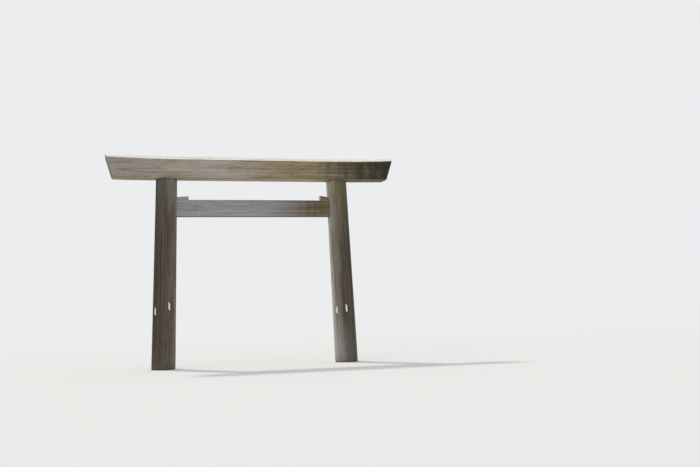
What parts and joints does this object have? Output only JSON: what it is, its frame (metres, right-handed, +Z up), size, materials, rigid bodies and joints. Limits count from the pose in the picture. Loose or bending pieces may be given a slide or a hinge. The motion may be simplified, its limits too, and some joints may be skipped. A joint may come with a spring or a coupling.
{
  "type": "torii gate",
  "caption": "Plain weathered timber torii gate: round leaning posts under a five-sided lintel, a wedged tie beam between them, and folded paper streamers on the posts.",
  "frame": {"origin": "on the ground, midway between the two posts", "axes": "+X along the gate towards the right-hand post as seen from the front, +Y through the passage from front to back, +Z up"},
  "size_m": [9.2598, 0.793, 6.6746],
  "materials": {
    "post_wood": "weathered, bare",
    "lintel_wood": "weathered, bare",
    "beam_wood": "weathered, bare",
    "wedge_wood": "weathered, bare",
    "peg_wood": "bare",
    "cord_fibre": "twisted plant fibre",
    "paper": "matt white paper"
  },
  "bodies": {
    "root": {"post_left": "post_wood", "post_right": "post_wood", "lintel": "lintel_wood", "tie_beam": "beam_wood", "wedge_left": "wedge_wood", "wedge_right": "wedge_wood", "peg_left_front_inner": "peg_wood", "cord_left_front_inner": "cord_fibre", "streamer_left_front_inner": "paper", "peg_left_front_outer": "peg_wood", "cord_left_front_outer": "cord_fibre", "streamer_left_front_outer": "paper", "peg_left_back_inner": "peg_wood", "cord_left_back_inner": "cord_fibre", "streamer_left_back_inner": "paper", "peg_left_back_outer": "peg_wood", "cord_left_back_outer": "cord_fibre", "streamer_left_back_outer": "paper", "peg_right_front_inner": "peg_wood", "cord_right_front_inner": "cord_fibre", "streamer_right_front_inner": "paper", "peg_right_front_outer": "peg_wood", "cord_right_front_outer": "cord_fibre", "streamer_right_front_outer": "paper", "peg_right_back_inner": "peg_wood", "cord_right_back_inner": "cord_fibre", "streamer_right_back_inner": "paper", "peg_right_back_outer": "peg_wood", "cord_right_back_outer": "cord_fibre", "streamer_right_back_outer": "paper"}
  },
  "joints": []
}
